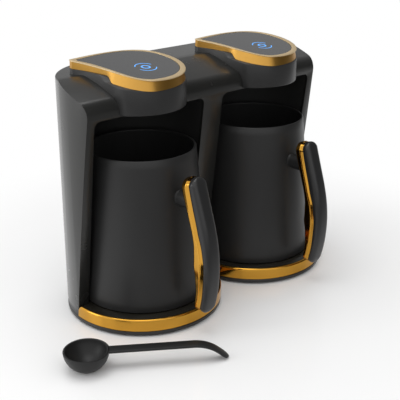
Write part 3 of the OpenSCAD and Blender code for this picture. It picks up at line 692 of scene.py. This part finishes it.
def dropOutline(d, form="lip"):  # one of the head's outlines, moved inwards by d
    shape = head[form]
    centre, r = Vector(shape["centre"]), shape["r"]
    a, b = shape["round"]
    (flankStart, flankEnd, flankWay), (rearStart, rearEnd, rearWay) = shape["flank"], shape["rear"]
    flankStart += d * shape["thin"] * 1.5
    flank, rear = unit(flankWay), unit(rearWay)
    inwards = shape["tipShare"] * d / math.sin(math.radians((rearWay - flankWay) / 2))
    tip = Vector(shape["tip"]) - (flank + rear) * inwards / (flank + rear).length
    points = [centre + (r - d * (1 - shape["thin"] * abs(i / 40 - 1) ** 4)) * unit(a + (b - a) * i / 80) for i in range(81)]
    start, end = points[-1], points[0]
    steps = [i / 40 for i in range(1, 38)]
    points += [bezier(start, start + flankStart * unit(b - 90), tip - flankEnd * flank, tip, t) for t in steps + [0.938, 0.955]]
    points += [bezier(end, end + rearStart * unit(a + 90), tip - rearEnd * rear, tip, t) for t in [0.97, 0.95] + steps[::-1]]
    return [(p.x, p.y) for p in points]


def eased(t):
    t = min(1, max(0, t))
    return t * t * (3 - 2 * t)


def footShape():  # for each corner of an outline, how far the foot of the band rises and how far it flares
    shape = []
    for i, (x, y) in enumerate(dropOutline(0)):
        if i < 120:
            up = eased((y - head["liftFrom"]) / 8) if i > 80 else 0
            fall = max(0, y - head["liftFrom"] - 8) / 32
            shape.append((up * (head["lift"] + (head["tipLift"] - head["lift"]) * fall), head["flare"] * eased((i - 62) / 36) * (1 - up)))
        else:
            shape.append((head["tipLift"] * (1 - (i - 120) / 39) ** 2, 0))
    return shape


def headRing(d, h, taper=0.0, form="lip", lift=0.0):
    # the outline on the tilted top, h above it; taper draws it towards the tip, lift is its share of the foot's shape
    tilt = math.radians(head["tilt"])
    tipX, tipY = head[form]["tip"]
    outline = [(x + (tipX - x) * taper, y + (tipY - y) * taper) for x, y in dropOutline(d, form)]
    ring = []
    for i, (rise, flare) in enumerate(footShape()):
        (x, y), before, after = outline[i], outline[i - 1], outline[(i + 1) % len(outline)]
        if form == "lip" and flare * lift > 0:
            way = Vector((after[0] - before[0], after[1] - before[1])).normalized() * flare * lift
            x, y = x - way.y, y + way.x
        ring.append((x, y, head["top"] + y * math.tan(tilt) + (h + lift * rise) / math.cos(tilt)))
    return ring


def headLoop(name, profile, smooth=40):
    return lofted(name, [headRing(*spot) for spot in profile + profile[:1]], caps=False, smooth=smooth)


def makeHeads():
    lip, foot = -head["lipT"], -head["lipT"] - head["bandH"]
    low = head["bottom"]
    body = lofted("headBody", [level(dropOutline(d, "body"), z) for d, z in (
        (1.0, low), (0.5, low + 0.1), (0.15, low + 0.4), (0, low + 0.9))]
        + [headRing(d, foot + h, 0, "body", 1) for d, h in ((0, -0.5), (0.1, -0.2), (0.4, 0))]
        + [headRing(1.2, foot, 0, "lip", 1), headRing(2.2, foot, 0, "lip", 1), headRing(4.6, foot, 0, "lip", 0)], smooth=40)
    onBothStations(body, "headBody", finishes["head"], "head_black", "head_body")
    plate = headLoop("headTrim", [(0, lip), (0, -0.3), (0.1, -0.1), (0.3, 0), (4.15, 0), (4.33, -0.1),
                                  (4.4, -0.35), (4.4, -1.3), (3.9, -1.3), (3.9, lip)])
    taper = head["bandTaper"]
    wall = [(0.4, lip + 0.05, taper), (0.3, (lip + foot) / 2, taper / 2, "lip", 0.5), (0.2, foot + 0.03, 0, "lip", 1),
            (2.3, foot + 0.03, 0, "lip", 1), (2.3, lip + 0.05, taper)]
    onBothStations(plate, "headTrim", finishes["trim"], "gold_trim", "head_trim")
    onBothStations(headLoop("headBand", wall), "headBand", finishes["band"], "gold_trim", "head_trim")
    panel = lofted("touchPanel", [headRing(d, h) for d, h in (
        (4.6, -2.3), (4.6, -0.7), (4.68, -0.45), (4.9, -0.3), (5.4, -0.28), (9, -0.26))])
    onBothStations(panel, "touchPanel", finishes["panel"], "panel_glass", "touch_panel")
    board = lofted("controlBoard", [headRing(head["boardIn"], foot + h) for h in (0.1, 1.6)])
    onBothStations(board, "controlBoard", finishes["board"], "board_green", "control_board")
    carrier = headLoop("panelFrame", [(head["boardIn"], foot + 1.7), (head["boardIn"], -2.4), (8.8, -2.4), (8.8, foot + 1.7)])
    onBothStations(carrier, "panelFrame", finishes["bracket"], "head_black", "panel_frame")
    x, y = head["mark"]
    marks = turned("touchMark", [(2.5, 0), (3.9, 0), (3.9, 0.03), (2.5, 0.03), (2.5, 0)], 64)
    outer = turned("outer", [(7.9, 0), (8.8, 0), (8.8, 0.03), (7.9, 0.03), (7.9, 0)], 96)
    for turn in (-3, 177):  # the outer ring's two gaps
        boolean(outer, placed(block("gap", (5, -3.4, -1), (10, 3.4, 1)), (0, 0, 0), (0, 0, turn)))
    joined(marks, outer)
    z = head["top"] + y * math.tan(math.radians(head["tilt"])) - 0.26
    placed(marks, (x, y, z + 0.01), (head["tilt"], 0, 0))
    onBothStations(marks, "touchMark", finishes["mark"], "guide_clear")


def panelGlass():
    finish = Finish("panelGlass", Specular_IOR_Level=0.5)
    broad = finish.noise(10.0, 3.0)
    finish.feed("Base Color", finish.blend(broad, (0.066, 0.066, 0.067), (0.078, 0.078, 0.079)))
    finish.feed("Roughness", finish.noise(120.0, 4.0, 0.7) * 0.06 + 0.16)
    finish.bump(finish.noise(240.0, 2.0), 0.04, 0.01 * mm)
    return finish.material


def lightMark():
    finish = Finish("touchLight", Emission_Strength=0.8, Roughness=0.4)
    glow = finish.noise(900.0, 2.0)
    finish.feed("Base Color", finish.blend(glow, (0.06, 0.2, 0.5), (0.1, 0.28, 0.6)))
    finish.feed("Emission Color", finish.blend(glow, (0.05, 0.28, 0.72), (0.12, 0.42, 0.9)))
    return finish.material


finishes["panel"] = panelGlass()
finishes["mark"] = lightMark()
makeHeads()
print("heads made")


# ---- pots ----

pot = {
    "low": 14.3,
    "h": 123.3,
    "footR": 53.5,
    "rimR": 44.4,
    "bow": 0.7,
    "wall": 2.0,
    "edgeR": 0.8,
    "floorZ": 19.7,
    "baseR": 45.0,
}


def potR(z):
    t = (z - pot["low"]) / pot["h"]
    return pot["footR"] + (pot["rimR"] - pot["footR"]) * t + 4 * pot["bow"] * t * (1 - t)


def makePots():
    low, top, e, wall = pot["low"], pot["low"] + pot["h"], pot["edgeR"], pot["wall"]
    profile = [(0, 17.75), (pot["baseR"] + 0.2, 17.75), (pot["baseR"] + 0.2, 16.2), (pot["baseR"] + 2, 15.8)]
    profile += [(pot["footR"] - 2.4, 15.8), (pot["footR"] - 2.2, low + 0.2), (pot["footR"] - 2.0, low)]
    profile += [(potR(low + e) - e + e * math.cos(math.radians(a)), low + e + e * math.sin(math.radians(a))) for a in range(-90, 1, 15)]
    profile += [(potR(z), z) for z in (low + e + (top - 0.9 - low - e) * i / 20 for i in range(1, 21))]
    mid = potR(top) - wall / 2
    profile += [(mid + 1.0 * math.cos(math.radians(a)), top - 1.0 + 1.0 * math.sin(math.radians(a))) for a in range(15, 180, 15)]
    profile += [(potR(z) - wall, z) for z in (top - 1.5 - (top - 27) * i / 14 for i in range(15))]
    inner = potR(25) - wall
    profile += [(inner - 5 + 5 * math.cos(math.radians(a)), pot["floorZ"] + 5 - 5 * math.sin(math.radians(a))) for a in range(15, 91, 15)]
    onBothStations(turned("potBody", profile + [(0, pot["floorZ"])]), "potBody", finishes["pot"], "pot_black", "pot_body", pot=True)
    disc = [(0, 15.5), (8, 15.5), (8.4, 15.75), (9, 15.75), (9.4, 15.5)]
    for r in (16, 23, 30, 37):
        disc += [(r, 15.5), (r + 0.4, 15.7), (r + 1, 15.7), (r + 1.4, 15.5)]
    disc += [(44.4, 15.5), (44.9, 15.8), (45, 16.2), (45, 17.7), (0, 17.7)]
    onBothStations(turned("potBase", disc), "potBase", finishes["steel"], "pot_steel", "pot_base", pot=True)


handle = {
    "halfW": 8.25,
    "bevel": 1.1,        # the gold's slanting edge beside the pad
    "bevelDeep": 3.4,
    "back": 3.0,         # how far the pot side bulges
    "reachY": 36.0,     # the bow's centre
    "bowZ": 56.6,
    "bowR": 120.0,
    "up": 18.3,
    "down": 15.6,
    "neck": 27.6,
    "edge": 0.25,
    "upperRound": 12.0,  # how far the pot side rounds off at the ends
    "lowerRound": 8.0,
    # along the blade from its upper end: how deep its side reaches, and how deep the pad lies
    "depth": ((0.0, 10.4), (0.12, 11.2), (0.23, 11.2), (0.35, 11.2), (0.45, 11.2), (0.54, 12.2), (0.63, 13.0),
              (0.73, 10.9), (0.85, 8.4), (1.0, 7.0)),
    "padDepth": ((0.0, 3.4), (0.13, 4.7), (0.23, 5.2), (0.38, 5.6), (0.5, 4.0), (0.62, 3.1), (0.75, 3.0), (0.88, 2.3), (1.0, 2.0)),
    "padHalfW": 7.5,
    "padEnd": 1.0,
    "crown": 1.9,
    "endBulge": 1.05,
}


def between2(table, share):  # a smooth value between a table's entries
    share = max(table[0][0], min(table[-1][0], share))
    for (a, first), (b, second) in zip(table, table[1:]):
        if share <= b:
            t = (share - a) / (b - a)
            t = t * t * (3 - 2 * t) * 0.5 + t * 0.5
            return first + (second - first) * t


def alongBlade(s):
    return (s + handle["halfW"]) / (bladeLength() + 2 * handle["halfW"])


def handleSpot(s):  # s runs down from the neck's upper end; gives the place (y, z) and the way in
    up = math.radians(handle["up"])
    if s < handle["neck"]:
        a = -up
        run = handle["neck"] - s
    else:
        a = -up + (s - handle["neck"]) / handle["bowR"]
        run = 0
    y = handle["reachY"] - handle["bowR"] * math.cos(a) + run * math.sin(up)
    z = handle["bowZ"] - handle["bowR"] * math.sin(a) + run * math.cos(up)
    return Vector((y, z)), Vector((math.cos(a), math.sin(a)))


def bladeRuns(halfW, short):  # stations along the blade, with the half width at each
    length = bladeLength()
    bulge = handle["endBulge"] * halfW
    stretch = handle["halfW"] - short - halfW  # how far the end's round starts beyond the bow
    ends = []
    for i in range(1, 15):
        a = math.radians(90 * i / 14) if i < 14 else math.pi / 2
        out = (handle["endBulge"] - 1) * halfW
        beyond = bulge * math.cos(a * 0.999) - out
        if beyond > -out:
            ends.append((beyond + stretch, min(halfW, bulge * math.sin(a))))
    runs = [(-b, w) for b, w in ends]
    first = ends[-1][0]
    runs += [(-first + (length + 2 * first) * i / 44, halfW) for i in range(1, 44)]
    runs += [(length + b, w) for b, w in reversed(ends)]
    return runs


def bladeRing(s, points):  # points are (x, depth from the front)
    at, into = handleSpot(s)
    return [(x, at.x + into.x * w, at.y + into.y * w) for x, w in points]


def bladeLength():
    return handle["neck"] + math.radians(handle["up"] + handle["down"]) * handle["bowR"]


def backShare(s):  # the bulge of the pot side fades towards both tips
    upper = (s + handle["halfW"]) / handle["upperRound"]
    lower = (bladeLength() + handle["halfW"] - s) / handle["lowerRound"]
    t = max(0.0, min(upper, lower, 1.0))
    return math.sqrt(1 - (1 - t) ** 2)


def frameSection(s, hw):
    beyond, reach = max(-s, s - bladeLength(), 0), handle["halfW"] - handle["bevel"]
    inner = min(reach * math.sqrt(max(0.0, 1 - (beyond / reach) ** 2)), hw * 0.9)
    front = between2(handle["padDepth"], alongBlade(s))
    fall = handle["bevelDeep"]
    seat = front + fall * max(0, beyond - reach) / handle["bevel"]
    brow = front + fall  # where the bevel meets the side
    side = max(brow + 0.5, between2(handle["depth"], alongBlade(s)))
    e = min(handle["edge"], hw * 0.2)
    right = [(inner, seat), (inner + (hw - inner) * 0.5, (seat + brow) / 2), (hw - e, brow - e * 1.6), (hw - e * 0.2, brow - e * 0.3), (hw, brow + e)]
    right += [(hw, brow + e + (side - brow - 2 * e) * k / 3) for k in (1, 2, 3)]
    bulge = handle["back"] * backShare(s)
    back = [(hw * math.cos(math.radians(a)), side + bulge * math.sin(math.radians(a))) for a in range(0, 181, 9)]
    return right + back + [(-x, w) for x, w in reversed(right)]


def padSection(s, hw, halfW):
    grow = (hw / halfW) ** 0.6
    deep = between2(handle["padDepth"], alongBlade(s)) + 0.3
    rise = []
    for i in range(0, 33):
        a = math.radians(180 * i / 32)
        x = hw * (abs(math.cos(a)) ** 0.62) * (1 if a < math.pi / 2 else -1)
        rise.append((x, deep - 0.35 - (deep - 0.35) * math.sin(a) ** 0.62 * (0.45 + 0.55 * grow) - handle["crown"] * grow * math.sin(a) ** 0.8))
    low = max(hw - 0.6, hw * 0.5)
    return [(low, deep + 0.4), (max(hw - 0.2, hw * 0.8), deep + 0.2)] + rise + [(-max(hw - 0.2, hw * 0.8), deep + 0.2), (-low, deep + 0.4)]


def makeHandles():
    blade = lofted("handleFrame", [bladeRing(s, frameSection(s, hw)) for s, hw in bladeRuns(handle["halfW"], 0)], smooth=40)
    onBothStations(blade, "handleFrame", finishes["gold"], "gold_handle", "handle_frame", pot=True)
    half = handle["padHalfW"]
    pad = lofted("gripPad", [bladeRing(s, padSection(s, hw, half)) for s, hw in bladeRuns(half, handle["padEnd"])], smooth=40)
    onBothStations(pad, "gripPad", finishes["pad"], "pad_black", "grip_pad", pot=True)
    z, w, h, r = 105.2, 5.5, 6.2, 5.2
    corners = arc(w - r, h - r, r, 0, 90, 8) + arc(-w + r, h - r, r, 90, 180, 8)
    corners += arc(-w + r, -h + r, r, 180, 270, 8) + arc(w - r, -h + r, r, 270, 360, 8)
    stub = lofted("handleBracket", [[(x * k, y, z + dz * k) for x, dz in corners] for y, k in (
        (-66.5, 1), (-60, 1), (-56, 1), (-52, 1), (-48.4, 1.0), (-47.4, 1.03), (-46.7, 1.1), (-45.5, 1.12))])
    onBothStations(stub, "handleBracket", finishes["bracket"], "bracket_black", "handle_bracket", pot=True)


makePots()
makeHandles()
print("pots made")


# ---- scoop ----

scoop = {
    "at": (-165, -54),
    "turn": -35.9,
    "r": 17.1,
    "wall": 1.4,
    "h": 14.6,
    "stripW": 8.4,
    "stripT": 2.0,
    "stripL": 79.0,
    "bendR": 30.0,
    "bend": 40.0,
}


def makeScoop():
    r, inner, top, lift = scoop["r"], scoop["r"] - scoop["wall"], scoop["h"], scoop["h"] + 0.6
    start = -math.degrees(math.asin((lift - 0.0) / r))
    outside = [(0, 0)] + arc(0, lift, r, start, -3, 20)
    bottom = inner + scoop["wall"]
    inside = arc(0, bottom, inner, -math.degrees(math.asin((bottom - top + 0.3) / inner)), -88, 20)
    rim = [(r - 0.1, top - 0.3), (r - 0.4, top), (inside[0][0] + 0.3, top)]
    bowl = turned("scoop", outside + rim + inside + [(0, scoop["wall"])], 96)
    bend, bendR, t = math.radians(scoop["bend"]), scoop["bendR"], scoop["stripT"]
    tail = (top - bendR + (bendR - t) * math.cos(bend)) / math.sin(bend)
    centre = (scoop["stripL"], top - bendR)
    spots = [(r - 1 + (scoop["stripL"] - r + 1) * i / 12, top, 0.0) for i in range(13)]
    spots += [(centre[0] + bendR * math.sin(bend * i / 12), centre[1] + bendR * math.cos(bend * i / 12), bend * i / 12) for i in range(1, 13)]
    endX, endZ = spots[-1][0], spots[-1][1]
    spots += [(endX + tail * k * math.cos(bend), endZ - tail * k * math.sin(bend), bend)
              for k in (0.2, 0.4, 0.55, 0.7, 0.8, 0.88, 0.94, 0.98, 0.997)]
    tip = endX + tail * math.cos(bend)
    half = scoop["stripW"] / 2
    rings = []
    for u, z, a in spots:
        gone = half - (tip - u)
        hw = half if gone < 0 else math.sqrt(max(0.02, half ** 2 - gone ** 2))
        e = min(0.5, hw * 0.4)
        section = [(hw, e), (hw, t - e), (hw - e * 0.3, t - e * 0.3), (hw - e, t), (-hw + e, t), (-hw + e * 0.3, t - e * 0.3),
                   (-hw, t - e), (-hw, e), (-hw + e * 0.3, e * 0.3), (-hw + e, 0), (hw - e, 0), (hw - e * 0.3, e * 0.3)]
        rings.append([(u - d * math.sin(a), v, z - d * math.cos(a)) for v, d in section])
    strip = lofted("strip", rings, smooth=40)
    joined(bowl, strip)
    placed(bowl, (*scoop["at"], 0), (0, 0, scoop["turn"]))
    dressed(bowl, finishes["scoop"], "scoop", "scoop_black", "scoop")


makeScoop()
print("scoop made")


# ---- the pieces inside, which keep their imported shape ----

insides = {
    "power_board": "board", "power_parts": "parts", "heating_element": "heater",
    "thermostat": "steel", "light_guide": "guide", "boil_sensor": "lens",
    "handle_screw": "steel",
}
for name, node in nodes.items():
    if not node.hide_render:
        stem = name.replace("_left", "").replace("_right", "")
        node.data.materials.clear()
        node.data.materials.append(finishes[insides.get(stem, "parts")])
        print("kept:", name)


# ---- studio ----

studio = {
    "cameraAt": (-0.4466, -0.4753, 0.3283),
    "lookAt": (-0.00004, 0.00072, 0.0720),
    "lens": 71.74,
    "ambient": 0.82,
    "front": 0.05,
    "back": 0.36,
    "left": 1.1,
    "ahead": 0.22,
    "floor": (0.98, 0.98, 0.98),
}


def addCamera():
    lens = bpy.data.cameras.new("camera")
    lens.lens = studio["lens"]
    lens.sensor_width = 36
    lens.clip_start, lens.clip_end = 0.02, 20
    camera = bpy.data.objects.new("camera", lens)
    bpy.context.scene.collection.objects.link(camera)
    camera.location = studio["cameraAt"]
    ahead = Vector(studio["lookAt"]) - camera.location
    camera.rotation_euler = ahead.to_track_quat("-Z", "Y").to_euler()
    bpy.context.scene.camera = camera


def softbox(name, at, target, size, power, colour=(1, 1, 1)):
    lamp = bpy.data.lights.new(name, "AREA")
    lamp.shape = "RECTANGLE"
    lamp.size, lamp.size_y = size
    lamp.energy = power
    lamp.color = colour
    box = bpy.data.objects.new(name, lamp)
    bpy.context.scene.collection.objects.link(box)
    box.location = at
    box.rotation_euler = (Vector(target) - Vector(at)).to_track_quat("-Z", "Y").to_euler()


def addFloor():
    bpy.ops.object.select_all(action="DESELECT")
    bpy.ops.mesh.primitive_plane_add(size=14, location=(0, 0, -0.0002))
    floor = bpy.context.object
    floor.name = "floor"
    finish = Finish("floor", Roughness=0.2, Specular_IOR_Level=0.3)
    finish.feed("Base Color", finish.blend(finish.noise(3.0, 2.0), studio["floor"], (0.985, 0.985, 0.985)))
    # far from the machine the floor runs out into plain white
    spot = finish.node("ShaderNodeTexCoord", {}, {}, "Object")
    away = finish.node("ShaderNodeVectorMath", {"operation": "LENGTH"}, {0: spot}, "Value")
    far = finish.node("ShaderNodeMapRange", {"interpolation_type": "SMOOTHSTEP"},
                      {"Value": away, "From Min": 0.21, "From Max": 0.36, "To Min": 0.0, "To Max": 1.0}, "Result")
    y = finish.node("ShaderNodeSeparateXYZ", {}, {"Vector": spot}, "Y")
    ahead = finish.node("ShaderNodeMapRange", {"interpolation_type": "SMOOTHSTEP"},
                        {"Value": y, "From Min": -0.02, "From Max": -0.3, "To Min": 0.0, "To Max": 1.0}, "Result")
    camera = finish.node("ShaderNodeLightPath", {}, {}, "Is Camera Ray")
    glossy = finish.node("ShaderNodeLightPath", {}, {}, "Is Glossy Ray")
    white = finish.node("ShaderNodeEmission", {}, {"Color": (1, 1, 1, 1), "Strength": 1.0}, 0)
    shown = finish.node("ShaderNodeMixShader", {}, {0: far * (camera + glossy), 2: white}, 0)
    finish.tree.links.new(finish.shader.outputs[0], shown.socket.node.inputs[1])
    # the black faces in front mirror a dim room rather than the white floor
    dim = finish.node("ShaderNodeEmission", {}, {"Color": (1, 1, 1, 1), "Strength": studio["ahead"]}, 0)
    whole = finish.node("ShaderNodeMixShader", {}, {0: ahead * glossy, 1: shown, 2: dim}, 0)
    out = finish.tree.nodes["Material Output"]
    finish.tree.links.new(whole.socket, out.inputs[0])
    floor.data.materials.append(finish.material)


def addWorld():
    world = bpy.data.worlds.new("studio")
    bpy.context.scene.world = world
    world.use_nodes = True
    tree = world.node_tree
    tree.nodes.clear()

    def made(kind, settings, inputs):
        node = tree.nodes.new(kind)
        for key, value in settings.items():
            setattr(node, key, value)
        for key, value in inputs.items():
            if isinstance(value, bpy.types.NodeSocket):
                tree.links.new(value, node.inputs[key])
            else:
                node.inputs[key].default_value = value
        return node

    way = made("ShaderNodeTexCoord", {}, {}).outputs["Generated"]
    parts = made("ShaderNodeSeparateXYZ", {}, {"Vector": way}).outputs
    # dark towards the front, light behind and lightest at the left
    behind = made("ShaderNodeMapRange", {"interpolation_type": "SMOOTHSTEP"},
                  {"Value": parts["Y"], "From Min": -0.55, "From Max": 0.5,
                   "To Min": studio["front"], "To Max": studio["back"]}).outputs["Result"]
    left = made("ShaderNodeMapRange", {"interpolation_type": "SMOOTHSTEP"},
                {"Value": parts["X"], "From Min": 0.35, "From Max": -0.1, "To Min": 0.0, "To Max": 1.0}).outputs["Result"]
    back = made("ShaderNodeMix", {"data_type": "FLOAT"}, {0: left, 2: behind, 3: studio["left"]}).outputs[0]
    rays = made("ShaderNodeLightPath", {}, {}).outputs
    glossy = made("ShaderNodeMix", {"data_type": "FLOAT"},
                  {0: rays["Is Glossy Ray"], 2: studio["ambient"], 3: back}).outputs[0]
    seen = made("ShaderNodeMath", {"operation": "MAXIMUM"},
                {0: rays["Is Camera Ray"], 1: rays["Is Transmission Ray"]}).outputs[0]
    strength = made("ShaderNodeMix", {"data_type": "FLOAT"}, {0: seen, 2: glossy, 3: 1.0}).outputs[0]
    light = made("ShaderNodeBackground", {}, {"Color": (1, 1, 1, 1), "Strength": strength})
    out = made("ShaderNodeOutputWorld", {}, {})
    tree.links.new(light.outputs[0], out.inputs[0])


addCamera()
addFloor()
addWorld()
softbox("topLight", (-0.1, 0.15, 1.2), (0, 0, 0.1), (0.8, 0.7), 4)
softbox("leftLight", (-1.1, 0.5, 0.5), (0, 0, 0.08), (0.4, 0.6), 2)
bpy.context.scene.view_settings.view_transform = "Standard"
print("studio made")
